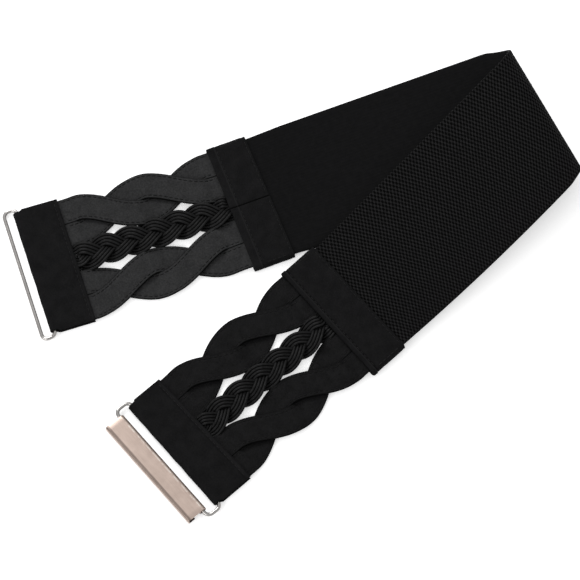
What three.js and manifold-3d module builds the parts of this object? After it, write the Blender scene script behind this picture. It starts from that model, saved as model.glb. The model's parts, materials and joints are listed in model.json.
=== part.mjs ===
// Cinch belt of wide elastic with twisted straps, a braid and a metal ring at each end
// The belt lies on the XY plane, folded over once, in millimetres with +Z up
import * as THREE from 'three';
import Module from 'manifold-3d';
import { mergeVertices } from 'three/addons/utils/BufferGeometryUtils.js';

// Driving dimensions of the cloth and the cords
const ELASTIC_WIDTH = 75;
const ELASTIC_HELD_WIDTH = 72.8;
const ELASTIC_THICK = 2;
const ELASTIC_EDGE = 0.5;
const SUEDE_THICK = 1.1;
const STRAP_WIDTH = 14.3;
const STRAP_THICK = 1.5;
const STRAP_EDGE = 0.4;
const BRAID_STRAND_WIDTH = 5.1;
const BRAID_STRAND_THICK = 1.4;
const SLEEVE_WIDTH = 76.4;
const SLEEVE_SEAM = 0.4;
const TAB_WIDTH = 73.8;
const CLEAR = 0.3;
const WIRE = 2.15;
const CORNER_PLAY = 0.3;
const CORNER_REACH = 0.6;
const END_MID = WIRE / 2 + CLEAR + SUEDE_THICK;

// Lengths along each end, measured from the tab's mouth toward the elastic
const SECTION_LENGTH = 88;
const SLEEVE_LENGTH = 22.9;
const END_LENGTH = SECTION_LENGTH + SLEEVE_LENGTH;
const STRAP_INSERT = 5;
const ELASTIC_INSERT = 14;
const GRIP_LEAVING = 2;
const DROP_LENGTH = 20;

// Twisted straps: two crossings, the straps resting side by side before, between and after them
const FIRST_CROSSING = 24.3;
const CROSSING_STEP = 38.3;
const STRAP_PLAY = 0.3;
const STRAP_SWING = (STRAP_WIDTH + STRAP_PLAY) / 2;
const HELD_CENTRE = 22.35;
const HELD_LENGTH = 20;
const CROSSING_LIFT = 0.95;
const SWAP_SHARPNESS = 5;

// Braid of three strands
const BRAID_PITCH = 40.8;
const BRAID_SWING = 5;
const BRAID_LIFT = 1.6;
const BRAID_ROLL = 0.2;
const BRAID_SLOT = 5.2;
const BRAID_SPREAD = [1.5, 8];
const BRAID_FLATTEN = [0.5, 4.5];
const STRAND_FULLNESS = 0.8;

// Metal parts
const RING_LENGTH = 79.4;
const RING_CORNER = 3.2;
const WIRE_SIDES = 10;
const PLATE_SHEET = 0.8;
const PLATE_WIDTH = 69;
const PLATE_DEPTH = 12.1;
const ROLL_WRAP = 290;
const PLATE_BEND = 0.9;
const HOOK_SLOT = 3;
const HOOK_LIP = 4;

// The two ends as they lie: mouth of the tab, direction toward the elastic, the gentle bend on the way,
// the length of the tab, the skew of its fold and of the sleeve, the ring, and how the braid and each
// pair of straps are laid
const ENDS = [
  {
    name: 'left', x: -115.5, y: 16.4, heading: 17.7, bend: 3.96, rise: 0,
    tabLength: 25.1, skew: 0, sleeveSkew: 0, ringDepth: 9.7, barHeight: 1.08, seamUp: true,
    braid: { start: 12.35, centre: -0.25 },
    pairs: {
      far: { over: 'outer', shift: 1.1, centre: 22.5 },
      near: { over: 'outer', shift: -2.4, centre: 22 },
    },
  },
  {
    name: 'right', x: -45.4, y: -80.4, heading: 41.8, bend: 0.5, rise: 2.6,
    tabLength: 23.6, skew: 1.5, sleeveSkew: 1.7, ringDepth: 11.4, barHeight: 2.43, seamUp: false,
    braid: { start: 50.3, centre: -0.75 },
    pairs: {
      far: { over: 'outer', shift: 1.3, centre: 23 },
      near: { over: 'inner', shift: -0.4, centre: 21.5 },
    },
  },
];
const RISE_START = 58;

// The fold: a roll whose axis crosses the belt aslant, where along it each edge enters and leaves,
// how far past half a turn it goes, and how much the strand after it bellies toward the near side
const FOLD = {
  x: 111.9, y: 132.3, heading: 27.8, radius: 9.5, dip: 5.5,
  farIn: -8.8, nearIn: 70, farOut: 7, nearOut: 88.5, belly: 1.5,
};

// How finely the shapes are divided: along a strap, along a strand, round a bend, and to feel a slope
const STRAP_STEP = 2.3;
const STRAND_STEP = 2.3;
const BEND_STEP = 22.5;
const FOLD_ROWS = 14;
const STEP_AHEAD = 0.05;
const JOINING_DISTANCE = 1e-4;

const rad = THREE.MathUtils.degToRad;
const wasm = await Module();
wasm.setup();

// A colour, roughness and metalness for each kind of surface
const finish = (color, roughness, metalness = 0) => (
  new THREE.MeshStandardMaterial({ color, roughness, metalness })
);
const FINISHES = {
  elastic: finish(0x151517, 0.9),
  suede: finish(0x1b1b1e, 0.95),
  strap: finish(0x232326, 0.55),
  cord: finish(0x17171a, 0.6),
  nickel: finish(0xb9b4ac, 0.25, 1),
  satin: finish(0xc9b3a3, 0.35, 1),
};

// Joins loops of points into one closed body; without closed, flat caps end it
function loft(sections, closed = false) {
  const count = sections[0].length;
  const positions = [];
  const index = [];
  for (const section of sections) {
    for (const point of section) {
      positions.push(point.x, point.y, point.z);
    }
  }
  const spans = closed ? sections.length : sections.length - 1;
  for (let i = 0; i < spans; i += 1) {
    const here = i * count;
    const next = ((i + 1) % sections.length) * count;
    for (let j = 0; j < count; j += 1) {
      const k = (j + 1) % count;
      index.push(here + j, here + k, next + k, here + j, next + k, next + j);
    }
  }
  if (!closed) {
    const flat = capTriangles(sections[0]);
    const last = (sections.length - 1) * count;
    for (const [a, b, c] of flat) {
      index.push(a, c, b);
      index.push(last + a, last + b, last + c);
    }
  }
  const geometry = new THREE.BufferGeometry();
  geometry.setAttribute('position', new THREE.Float32BufferAttribute(positions, 3));
  geometry.setIndex(index);
  return facingOut(geometry);
}

// Triangles of a loop that lies near a plane, found in that plane
function capTriangles(loop) {
  const centre = new THREE.Vector3();
  loop.forEach((point) => centre.addScaledVector(point, 1 / loop.length));
  const normal = new THREE.Vector3();
  loop.forEach((point, i) => {
    const next = loop[(i + 1) % loop.length];
    normal.add(new THREE.Vector3().crossVectors(point.clone().sub(centre), next.clone().sub(centre)));
  });
  normal.normalize();
  const across = loop[1].clone().sub(loop[0]).normalize();
  const up = new THREE.Vector3().crossVectors(normal, across);
  const outline = loop.map((point) => {
    const away = point.clone().sub(centre);
    return new THREE.Vector2(away.dot(across), away.dot(up));
  });
  return THREE.ShapeUtils.triangulateShape(outline, []);
}

// Turns every face of a closed body outward
function facingOut(geometry) {
  const position = geometry.getAttribute('position');
  const index = geometry.getIndex().array;
  let volume = 0;
  const corner = [0, 1, 2].map(() => new THREE.Vector3());
  for (let i = 0; i < index.length; i += 3) {
    corner.forEach((point, j) => point.fromBufferAttribute(position, index[i + j]));
    volume += corner[0].dot(corner[1].clone().cross(corner[2]));
  }
  if (volume < 0) {
    for (let i = 0; i < index.length; i += 3) {
      [index[i], index[i + 1]] = [index[i + 1], index[i]];
    }
  }
  return geometry;
}

function solid(geometry) {
  const bare = geometry.clone();
  bare.deleteAttribute('normal');
  bare.deleteAttribute('uv');
  const merged = mergeVertices(bare, JOINING_DISTANCE);
  return new wasm.Manifold(new wasm.Mesh({
    numProp: 3,
    vertProperties: new Float32Array(merged.getAttribute('position').array),
    triVerts: new Uint32Array(merged.getIndex().array),
  }));
}

function cut(geometry, cutters) {
  let body = solid(geometry);
  for (const cutter of cutters) {
    body = body.subtract(solid(cutter));
  }
  const mesh = body.getMesh();
  const result = new THREE.BufferGeometry();
  result.setAttribute('position', new THREE.Float32BufferAttribute(mesh.vertProperties, 3));
  result.setIndex(Array.from(mesh.triVerts));
  return result;
}

function piece(name, geometry, material) {
  const mesh = new THREE.Mesh(geometry, material);
  mesh.name = name;
  return mesh;
}

// Outline of a bent sheet: its middle line, given by steps that go straight or turn, thickened to both sides
function sheetOutline(start, heading, steps, thickness) {
  const line = [];
  let x = start[0];
  let y = start[1];
  let angle = rad(heading);
  const note = () => line.push({ x, y, angle });
  note();
  for (const step of steps) {
    if (step.go) {
      x += step.go * Math.cos(angle);
      y += step.go * Math.sin(angle);
      note();
    } else {
      const turn = rad(step.turn);
      const parts = Math.max(2, Math.round(Math.abs(step.turn) / BEND_STEP));
      const side = Math.sign(turn);
      const centreX = x - side * step.radius * Math.sin(angle);
      const centreY = y + side * step.radius * Math.cos(angle);
      for (let i = 1; i <= parts; i += 1) {
        const now = angle + (turn * i) / parts;
        x = centreX + side * step.radius * Math.sin(now);
        y = centreY - side * step.radius * Math.cos(now);
        line.push({ x, y, angle: now });
      }
      angle += turn;
    }
  }
  const offset = (side) => line.map((spot) => new THREE.Vector2(
    spot.x - side * Math.sin(spot.angle) * thickness / 2,
    spot.y + side * Math.cos(spot.angle) * thickness / 2,
  ));
  return [...offset(-1), ...offset(1).reverse()];
}

// A place on an end: along it from the tab's mouth, across it toward the near side, and above its middle
function onEnd(end, along, across, above) {
  const total = rad(end.bend);
  const radius = END_LENGTH / total;
  const bent = THREE.MathUtils.clamp(along, 0, END_LENGTH);
  const straight = along - bent;
  const angle = bent / radius;
  const x = radius * Math.sin(angle) + straight * Math.cos(angle) + across * Math.sin(angle);
  const y = radius * (1 - Math.cos(angle)) + straight * Math.sin(angle) - across * Math.cos(angle);
  const share = Math.max(along - RISE_START, 0) / (END_LENGTH - RISE_START);
  return new THREE.Vector3(x, y, END_MID + end.rise * share * share + above);
}

// Sections of a flat or round-backed ribbon that follows a path given in along, across and above
function ribbon(end, path, outline, stations) {
  return stations.map((along) => {
    const spot = path(along);
    const ahead = path(along + STEP_AHEAD);
    const slope = Math.atan2(ahead.across - spot.across, STEP_AHEAD);
    return outline.map(([wide, high]) => {
      const side = wide * Math.cos(spot.roll) - high * Math.sin(spot.roll);
      const up = wide * Math.sin(spot.roll) + high * Math.cos(spot.roll);
      const across = spot.across + side * Math.cos(slope);
      return onEnd(end, along - side * Math.sin(slope), across, spot.above + up);
    });
  });
}

function evenly(from, to, step) {
  const count = Math.ceil((to - from) / step);
  return Array.from({ length: count + 1 }, (_, i) => from + ((to - from) * i) / count);
}

// How free a place is of the tab and the sleeve, which hold the straps and the braid side by side
function freedom(along) {
  return THREE.MathUtils.smoothstep(Math.min(along, SECTION_LENGTH - along), 0, HELD_LENGTH);
}

// A strap of a twisted pair; side is -1 for the far pair and 1 for the near pair
function strapPath(pair, side, startsOuter) {
  const onTopFirst = (pair.over === 'outer') === startsOuter;
  const begin = FIRST_CROSSING + pair.shift - CROSSING_STEP / 2;
  const end = begin + 2 * CROSSING_STEP;
  return (along) => {
    const phase = (Math.PI * (THREE.MathUtils.clamp(along, begin, end) - begin)) / CROSSING_STEP;
    const centre = THREE.MathUtils.lerp(HELD_CENTRE, pair.centre, freedom(along));
    const swing = STRAP_SWING * Math.cos(phase);
    const over = THREE.MathUtils.clamp(SWAP_SHARPNESS * Math.sin(phase), -1, 1);
    const above = (onTopFirst ? 1 : -1) * CROSSING_LIFT * over;
    return { across: side * (centre + (startsOuter ? swing : -swing)), above, roll: 0 };
  };
}

const STRAP_OUTLINE = [
  [-STRAP_WIDTH / 2, 0],
  [-STRAP_WIDTH / 2 + STRAP_EDGE, -STRAP_THICK / 2],
  [STRAP_WIDTH / 2 - STRAP_EDGE, -STRAP_THICK / 2],
  [STRAP_WIDTH / 2, 0],
  [STRAP_WIDTH / 2 - STRAP_EDGE, STRAP_THICK / 2],
  [-STRAP_WIDTH / 2 + STRAP_EDGE, STRAP_THICK / 2],
];

function straps(end) {
  const stations = evenly(-STRAP_INSERT, SECTION_LENGTH + STRAP_INSERT, STRAP_STEP);
  const list = [];
  for (const [pair, side] of [[end.pairs.far, -1], [end.pairs.near, 1]]) {
    for (const startsOuter of [true, false]) {
      const path = strapPath(pair, side, startsOuter);
      const name = `strap_${end.name}_${list.length + 1}`;
      list.push(piece(name, loft(ribbon(end, path, STRAP_OUTLINE, stations)), FINISHES.strap));
    }
  }
  return list;
}

// A strand of the braid: it swings from side to side and dives as it leaves the middle
function braidPath(end, strand) {
  const third = (2 * Math.PI) / 3;
  const phaseAt = (along) => rad(end.braid.start) + (2 * Math.PI * along) / BRAID_PITCH + strand * third;
  const rank = (along) => {
    const mine = Math.sin(phaseAt(along));
    const others = [1, 2].map((k) => Math.sin(phaseAt(along) + k * third));
    return others.filter((value) => value < mine).length - 1;
  };
  const slots = {
    start: rank(BRAID_SPREAD[1]) * BRAID_SLOT,
    end: rank(SECTION_LENGTH - BRAID_SPREAD[1]) * BRAID_SLOT,
  };
  return (along) => {
    const inside = Math.min(along, SECTION_LENGTH - along);
    const spread = THREE.MathUtils.smoothstep(inside, ...BRAID_SPREAD);
    const height = THREE.MathUtils.smoothstep(inside, ...BRAID_FLATTEN);
    const slot = along < SECTION_LENGTH / 2 ? slots.start : slots.end;
    const phase = phaseAt(along);
    const across = THREE.MathUtils.lerp(slot, BRAID_SWING * Math.sin(phase), spread);
    return {
      across: across + end.braid.centre * freedom(along),
      above: -BRAID_LIFT * Math.sin(2 * phase) * height,
      roll: -BRAID_ROLL * Math.cos(phase) * spread,
    };
  };
}

// A strand's section: eight corners, fuller than an ellipse
const BRAID_OUTLINE = Array.from({ length: 8 }, (_, i) => {
  const angle = (Math.PI * (2 * i + 1)) / 8;
  const widest = Math.cos(Math.PI / 8) ** STRAND_FULLNESS;
  const highest = Math.sin((3 * Math.PI) / 8);
  const wide = (Math.sign(Math.cos(angle)) * Math.abs(Math.cos(angle)) ** STRAND_FULLNESS) / widest;
  return [(wide * BRAID_STRAND_WIDTH) / 2, (Math.sin(angle) * BRAID_STRAND_THICK) / 2 / highest];
});

function braid(end) {
  const stations = evenly(-STRAP_INSERT, SECTION_LENGTH + STRAP_INSERT, STRAND_STEP);
  return [0, 1, 2].map((strand) => {
    const sections = ribbon(end, braidPath(end, strand), BRAID_OUTLINE, stations);
    return piece(`braid_${end.name}_${strand + 1}`, loft(sections), FINISHES.cord);
  });
}

// The sleeve wraps round the elastic's end, its two ends meeting on the back
function sleeve(end) {
  const inner = ELASTIC_THICK / 2 + CLEAR;
  const bend = inner + SUEDE_THICK / 2;
  const halfFlat = SLEEVE_WIDTH / 2 - SUEDE_THICK - inner;
  const steps = [
    { go: halfFlat - SLEEVE_SEAM / 2 },
    { turn: -180, radius: bend },
    { go: 2 * halfFlat },
    { turn: -180, radius: bend },
    { go: halfFlat - SLEEVE_SEAM / 2 },
  ];
  const outline = sheetOutline([SLEEVE_SEAM / 2, bend], 0, steps, SUEDE_THICK);
  const flip = end.seamUp ? 1 : -1;
  const stations = evenly(SECTION_LENGTH, END_LENGTH, SLEEVE_LENGTH / 3);
  const skew = Math.tan(rad(end.sleeveSkew));
  const sections = stations.map((along) => (
    outline.map((point) => onEnd(end, along - point.x * skew, point.x, flip * point.y))
  ));
  return piece(`sleeve_${end.name}`, loft(sections), FINISHES.suede);
}

// Where the ring's inner bar lies, at a place across the tab
function barPlace(end, across) {
  return -end.tabLength + END_MID - across * Math.tan(rad(end.skew));
}

// The tab folds round the inner bar and closes on the ends of the straps
function tab(end) {
  const hold = WIRE / 2 + CLEAR;
  const mouth = STRAP_THICK / 2 + CLEAR;
  const sections = [-TAB_WIDTH / 2, TAB_WIDTH / 2].map((across) => {
    const reach = -barPlace(end, across);
    const lean = Math.atan2(hold - mouth, reach);
    const leanDegrees = THREE.MathUtils.radToDeg(lean);
    const side = reach / Math.cos(lean);
    const steps = [
      { go: side },
      { turn: 180 + 2 * leanDegrees, radius: hold + SUEDE_THICK / 2 },
      { go: side },
    ];
    const outline = sheetOutline([0, mouth + SUEDE_THICK / 2], 180 - leanDegrees, steps, SUEDE_THICK);
    return outline.map((point) => new THREE.Vector3(point.x, -across, END_MID + point.y));
  });
  return piece(`tab_${end.name}`, cut(loft(sections), tabCorners(end)), FINISHES.suede);
}

// The corners of the fold stand clear of the ring's rounded ends
function tabCorners(end) {
  const reach = RING_LENGTH / 2 - WIRE / 2 - RING_CORNER + CORNER_REACH;
  const behind = WIRE / 2 + CLEAR + CORNER_PLAY;
  const beyond = TAB_WIDTH / 2 + 1;
  return [-1, 1].map((side) => {
    const corner = new THREE.Shape([
      new THREE.Vector2(-END_MID - 1, side * reach),
      new THREE.Vector2(behind, side * reach),
      new THREE.Vector2(behind + beyond - reach, side * beyond),
      new THREE.Vector2(-END_MID - 1, side * beyond),
    ]);
    const cutter = new THREE.ExtrudeGeometry(corner, { depth: 4 * END_MID, bevelEnabled: false });
    return cutter.rotateZ(-rad(end.skew)).translate(barPlace(end, 0), 0, 0);
  });
}

// A wire ring with two long bars and round ends, its inner bar on the Y axis and the outer one toward -X
function ring(end) {
  const depth = end.ringDepth - WIRE;
  const half = RING_LENGTH / 2 - WIRE / 2;
  const corners = [
    [-RING_CORNER, half - RING_CORNER, 0],
    [-depth + RING_CORNER, half - RING_CORNER, 90],
    [-depth + RING_CORNER, -half + RING_CORNER, 180],
    [-RING_CORNER, -half + RING_CORNER, 270],
  ];
  const sections = [];
  for (const [x, y, from] of corners) {
    for (const angle of evenly(rad(from), rad(from + 90), Math.PI / 10)) {
      const out = new THREE.Vector3(Math.cos(angle), Math.sin(angle), 0);
      const middle = new THREE.Vector3(x, y, 0).addScaledVector(out, RING_CORNER);
      sections.push(Array.from({ length: WIRE_SIDES }, (_, i) => {
        const round = (2 * Math.PI * (i + 0.5)) / WIRE_SIDES;
        const spot = middle.clone().addScaledVector(out, (Math.cos(round) * WIRE) / 2);
        spot.z += (Math.sin(round) * WIRE) / 2;
        return spot;
      }));
    }
  }
  const mesh = piece(`ring_${end.name}`, loft(sections, true), FINISHES.nickel);
  mesh.rotation.y = ringTilt(end);
  return mesh;
}

// The ring leans on its inner bar until what it carries rests
function ringTilt(end) {
  return -Math.asin((END_MID - end.barHeight) / (end.ringDepth - WIRE));
}

// The plate is rolled round the outer bar, runs outward and turns back under as a hook
function hookPlate(end) {
  const roll = WIRE / 2 + CLEAR + PLATE_SHEET / 2;
  const flat = PLATE_DEPTH - roll - PLATE_BEND - PLATE_SHEET;
  const from = rad(90 - ROLL_WRAP);
  const steps = [
    { turn: ROLL_WRAP, radius: roll },
    { go: flat },
    { turn: 90, radius: PLATE_BEND },
    { go: HOOK_SLOT + PLATE_SHEET - 2 * PLATE_BEND },
    { turn: 90, radius: PLATE_BEND },
    { go: HOOK_LIP - PLATE_BEND },
  ];
  const begin = [roll * Math.cos(from), roll * Math.sin(from)];
  const outline = sheetOutline(begin, 180 - ROLL_WRAP, steps, PLATE_SHEET);
  const sections = [-PLATE_WIDTH / 2, PLATE_WIDTH / 2].map((across) => outline.map(
    (point) => new THREE.Vector3(point.x, across, point.y),
  ));
  const mesh = piece('hook_plate', loft(sections), FINISHES.satin);
  const tilt = ringTilt(end);
  const depth = end.ringDepth - WIRE;
  mesh.position.set(-depth * Math.cos(tilt), 0, depth * Math.sin(tilt));
  return mesh;
}

// The metal of an end, placed on its inner bar
function metal(end) {
  const group = new THREE.Group();
  group.add(ring(end));
  if (end.name === 'right') {
    group.add(hookPlate(end));
  }
  group.position.set(barPlace(end, 0), 0, END_MID);
  group.rotation.z = -rad(end.skew);
  return group;
}

function endGroup(end) {
  const group = new THREE.Group();
  group.add(...straps(end), ...braid(end), sleeve(end), tab(end), metal(end));
  group.position.set(end.x, end.y, 0);
  group.rotation.z = rad(end.heading);
  return group;
}

// A place on an end in the belt's own frame
function fromEnd(end, along, across) {
  const spot = onEnd(end, along, across, 0);
  spot.applyAxisAngle(new THREE.Vector3(0, 0, 1), rad(end.heading));
  return spot.add(new THREE.Vector3(end.x, end.y, 0));
}

// A place on the fold: a distance along its axis and an angle round its roll
function onFold(place, angle) {
  const heading = rad(FOLD.heading);
  const forward = FOLD.radius * Math.sin(angle);
  return new THREE.Vector3(
    FOLD.x + forward * Math.cos(heading) + place * Math.sin(heading),
    FOLD.y + forward * Math.sin(heading) - place * Math.cos(heading),
    ELASTIC_THICK / 2 + FOLD.radius * (1 - Math.cos(angle)),
  );
}

// The elastic's edges, row by row: a flat strand, the roll of the fold, and the strand that comes back
function elasticRows() {
  const [left, right] = ENDS;
  const gripped = evenly(END_LENGTH - ELASTIC_INSERT, END_LENGTH + GRIP_LEAVING, ELASTIC_INSERT / 2);
  const edges = (end, along, width) => (
    { far: fromEnd(end, along, -width / 2), near: fromEnd(end, along, width / 2) }
  );
  const between = (from, to, share) => (
    { far: from.far.clone().lerp(to.far, share), near: from.near.clone().lerp(to.near, share) }
  );
  const rows = gripped.map((along) => edges(left, along, ELASTIC_HELD_WIDTH));
  const start = edges(left, END_LENGTH + DROP_LENGTH, ELASTIC_WIDTH);
  start.far.z = ELASTIC_THICK / 2;
  start.near.z = ELASTIC_THICK / 2;
  const into = { far: onFold(FOLD.farIn, 0), near: onFold(FOLD.nearIn, 0) };
  for (const share of [0, 1 / 3, 2 / 3]) {
    rows.push(between(start, into, share));
  }
  const last = 180 + FOLD.dip;
  for (const angle of evenly(0, last, last / FOLD_ROWS)) {
    const far = THREE.MathUtils.lerp(FOLD.farIn, FOLD.farOut, angle / last);
    const near = THREE.MathUtils.lerp(FOLD.nearIn, FOLD.nearOut, angle / last);
    rows.push({ far: onFold(far, rad(angle)), near: onFold(near, rad(angle)) });
  }
  const top = rows[rows.length - 1];
  const heldRows = gripped.reverse().map((along) => edges(right, along, ELASTIC_HELD_WIDTH));
  for (const share of [0.2, 0.4, 0.6, 0.8]) {
    const row = between(top, heldRows[0], share);
    const bulge = 4 * FOLD.belly * share * (1 - share);
    row.near.add(row.near.clone().sub(row.far).setLength(bulge));
    rows.push(row);
  }
  return [...rows, ...heldRows];
}

function elasticBand() {
  const rows = elasticRows();
  const middle = (row) => row.far.clone().add(row.near);
  const high = ELASTIC_THICK / 2;
  const sections = rows.map((row, i) => {
    const before = rows[Math.max(i - 1, 0)];
    const after = rows[Math.min(i + 1, rows.length - 1)];
    const across = row.near.clone().sub(row.far).normalize();
    const forward = middle(after).sub(middle(before)).normalize();
    const up = new THREE.Vector3().crossVectors(across, forward).normalize();
    const at = (from, inward, height) => from.clone()
      .addScaledVector(across, inward)
      .addScaledVector(up, height);
    return [
      at(row.far, 0, 0), at(row.far, ELASTIC_EDGE, -high), at(row.near, -ELASTIC_EDGE, -high),
      at(row.near, 0, 0), at(row.near, -ELASTIC_EDGE, high), at(row.far, ELASTIC_EDGE, high),
    ];
  });
  return piece('elastic_band', loft(sections), FINISHES.elastic);
}

const belt = new THREE.Group();
belt.add(elasticBand(), ...ENDS.map(endGroup));
belt.updateMatrixWorld(true);
const box = new THREE.Box3().setFromObject(belt, true);
const centre = box.getCenter(new THREE.Vector3());
belt.position.set(-centre.x, -centre.y, -box.min.z);

export default belt;
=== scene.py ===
import json
import math

import bpy
import numpy as np
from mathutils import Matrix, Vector


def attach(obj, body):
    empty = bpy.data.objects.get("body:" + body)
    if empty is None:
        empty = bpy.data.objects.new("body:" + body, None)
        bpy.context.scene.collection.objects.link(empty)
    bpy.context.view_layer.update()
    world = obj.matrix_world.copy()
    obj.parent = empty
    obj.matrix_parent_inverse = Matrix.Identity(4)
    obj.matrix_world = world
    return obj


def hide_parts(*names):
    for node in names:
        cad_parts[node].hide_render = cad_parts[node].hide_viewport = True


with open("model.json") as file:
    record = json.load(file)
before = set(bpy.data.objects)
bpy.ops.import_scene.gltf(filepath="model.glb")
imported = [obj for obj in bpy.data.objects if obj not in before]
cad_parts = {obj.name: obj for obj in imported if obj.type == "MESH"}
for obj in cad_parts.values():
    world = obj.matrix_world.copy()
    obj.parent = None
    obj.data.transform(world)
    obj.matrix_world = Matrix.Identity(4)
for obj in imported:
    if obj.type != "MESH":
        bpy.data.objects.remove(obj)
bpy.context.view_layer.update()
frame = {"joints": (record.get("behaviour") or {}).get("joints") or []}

# Sizes of the belt in millimetres, the same as in the part's source
MM = 0.001
ELASTIC_WIDTH = 75
ELASTIC_HELD_WIDTH = 72.8
ELASTIC_THICK = 2
SUEDE_THICK = 1.1
STRAP_WIDTH = 14.8
STRAP_THICK = 1.5
SLEEVE_WIDTH = 76.4
SLEEVE_SEAM = 0.4
TAB_WIDTH = 73.8
CLEAR = 0.3
WIRE = 2.15
CORNER_PLAY = 0.3
CORNER_REACH = 0.6
END_MID = WIRE / 2 + CLEAR + SUEDE_THICK

SECTION_LENGTH = 88
SLEEVE_LENGTH = 22.9
END_LENGTH = SECTION_LENGTH + SLEEVE_LENGTH
STRAP_INSERT = 5
ELASTIC_INSERT = 14
GRIP_LEAVING = 2
DROP_LENGTH = 20

FIRST_CROSSING = 24.3
CROSSING_STEP = 38.3
STRAP_OVERLAP = 0.2
STRAP_SWING = (STRAP_WIDTH - STRAP_OVERLAP) / 2
HELD_CENTRE = 21.5
HELD_LENGTH = 20
CROSSING_LIFT = 1.05
SWAP_SHARPNESS = 3

BRAID_PITCH = 40.8
BRAID_LIFT = 1.9
BRAID_RAISE = 0.9
BRAID_ROLL = 0.2
BRAID_SLOT = 4.6
BRAID_SPREAD = (-2, 3.5)
BRAID_FLATTEN = (-0.6, 3)

RING_LENGTH = 79.4
RING_CORNER = 3.2
PLATE_SHEET = 0.8
PLATE_WIDTH = 69
PLATE_DEPTH = 12.1
ROLL_WRAP = 290
PLATE_BEND = 0.55
HOOK_SLOT = 3
HOOK_LIP = 4
ROLL_RADIUS = WIRE / 2 + CLEAR + PLATE_SHEET / 2
RISE_START = 58

# The two ends of the belt. The middle of the tab's mouth is at x, y; the straps run from there along the
# heading in degrees, and turn by the bend and climb by the rise on their way to the elastic. The strap
# of a pair that is named by over lies on top at the first crossing
# The tab's welt value is how strong the painted highlight and painted shade along the tab's welt are
LEFT = dict(
    name="left", x=-115.5, y=16.4, heading=17.7, bend=3.96, rise=0,
    tab_length=25.1, skew=0, sleeve_skew=0, ring_depth=9.7, bar_height=1.08, face_up=False,
    braid_start=12.35, braid_centre=-1.1, sleeve_shift=-0.3, braid_swing=5.3, cord_step=1.8,
    hem_width=4.8, hem_height=0.1, tab_groove=0, tab_welt_painted_light=0.4, sleeve_seed=11, tab_seed=22,
    far=dict(over="outer", shift=1.1, centre=22.25, sleeve_centre=21.7),
    near=dict(over="outer", shift=-2.4, centre=21.2, sleeve_centre=20.6),
)
RIGHT = dict(
    name="right", x=-45.4, y=-80.4, heading=41.8, bend=0.5, rise=2.6,
    tab_length=23.6, skew=1.5, sleeve_skew=1.7, ring_depth=11.4, bar_height=2.43, face_up=True,
    braid_start=50.3, braid_centre=-1.0, sleeve_shift=-1.0, braid_swing=4.85, cord_step=1.72,
    hem_width=2.7, hem_height=0.32, tab_groove=0.12, tab_welt_painted_light=1, sleeve_seed=12, tab_seed=21,
    far=dict(over="outer", shift=1.3, centre=22.7, sleeve_centre=22.3),
    near=dict(over="inner", shift=-0.4, centre=21.0, sleeve_centre=20.2),
)
ENDS = (LEFT, RIGHT)

# The fold: a roll about an axis through x, y, where the far and the near edge of the elastic enter and
# leave it along that axis, the dip past the half turn in degrees and the belly of the near edge after it
FOLD = dict(
    x=111.9, y=132.3, heading=27.8, radius=9.5, dip=5.5,
    far_in=-8.8, near_in=70, far_out=7, near_out=88.5, belly=1.5,
)

# Sizes of the detail that the solids leave out
WEAVE_ALONG = 2.15
WEAVE_ACROSS = 3.41
PIT_DEPTH = 0.42
CORDS = 4
CORD_SIDES = 10
CORD_STEP_HELD = 1.46
CORD_RADIUS_HELD = 0.78
CORD_FULLNESS = 0.515
STITCH_INSET = 1.35
STITCH_LENGTH = 1.9
STITCH_GAP = 1.0
STITCH_RISE = 0.08
STITCH_SIDES = 6
THREAD_RADIUS = 0.17
STRAP_THREAD_RADIUS = 0.26
STRAP_STITCH_INSET = 1.65
STRAP_THREAD_SUNK = 0.16
SLEEVE_THREAD_SUNK = 0.12
TAB_STITCH_INSET = 2.2
TAB_THREAD_SUNK = 0.13
EDGE_ROUNDING = 0.5
STRAP_ROUNDING = 0.45
ELASTIC_ROUNDING = 0.8
PLATE_ROUNDING = 0.25
THINNEST_EDGE = 0.12
RING_SIDES = 24
STRAP_STATIONS = 118
BRAID_STATIONS = 170
SOFTENED_ROWS = 9
SOFTENED_SPREAD = 3.2

# Relief of the cloth: how deep a sewn groove is and how wide, how high a puff, a lip or a bead stands,
# and how high the uneven waves are and how far apart
STRAP_GROOVE_DEPTH = 0.16
STRAP_GROOVE_WIDTH = 0.5
STRAP_PUFF = 0.05
STRAP_WAVES = 0.035
STRAP_WAVE_REACH = 9
HEM_GROOVE_DEPTH = 0.16
HEM_GROOVE_WIDTH = 0.3
SLEEVE_GROOVE_DEPTH = 0.2
SLEEVE_GROOVE_WIDTH = 0.4
SLEEVE_WAVES = 0.09
SLEEVE_WAVE_REACH = 14
TAB_LIP_HEIGHT = 0.1
TAB_LIP_PLACE = 0.9
TAB_LIP_WIDTH = 0.7
TAB_GROOVE_DEPTH = 0.16
TAB_GROOVE_WIDTH = 0.5
TAB_INNER_GROOVE_PLACE = 13
TAB_INNER_GROOVE_WIDTH = 0.55
TAB_WAVES = 0.1
TAB_WAVE_REACH = 15
BEAD_HEIGHT = 0.09
BEAD_INSET = 0.8
BEAD_WIDTH = 0.5

# The dark colour along the cut edges of the straps: partly their dye, partly painted shade along the
# edges
EDGE_DYE_AND_SHADE_COLOUR = (0.0008, 0.0008, 0.0008)

# Painted shade on the hook plate, each from its first value to its second: round the roll by the outward
# angle in degrees, under the hook by the distance from the lip's end, and along the turned edge by the
# distance from its middle
ROLL_DARKENS = (40, 15)
LIP_DARKENS = (4.3, 3.4)
TURNED_EDGE_DARKENS = (1.2, 0.9)
TURNED_EDGE_PLACE = 7.7
TURNED_EDGE_SHADE = 0.55

# Light of the studio, from the walls up to the ceiling, and the floor's half width in metres
DIM_WALL = 0.12
BRIGHT_CEILING = 0.76
FLOOR_REACH = 4.0

# The camera: a long lens far away, at the photograph's height above the floor
CAMERA_ELEVATION = 68.2
CAMERA_DISTANCE = 2.34
SENSOR = 36
PICTURE_SIZE = 580
PIXELS_PER_MM = 1.854


def radians(degrees):
    return math.radians(degrees)


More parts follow.
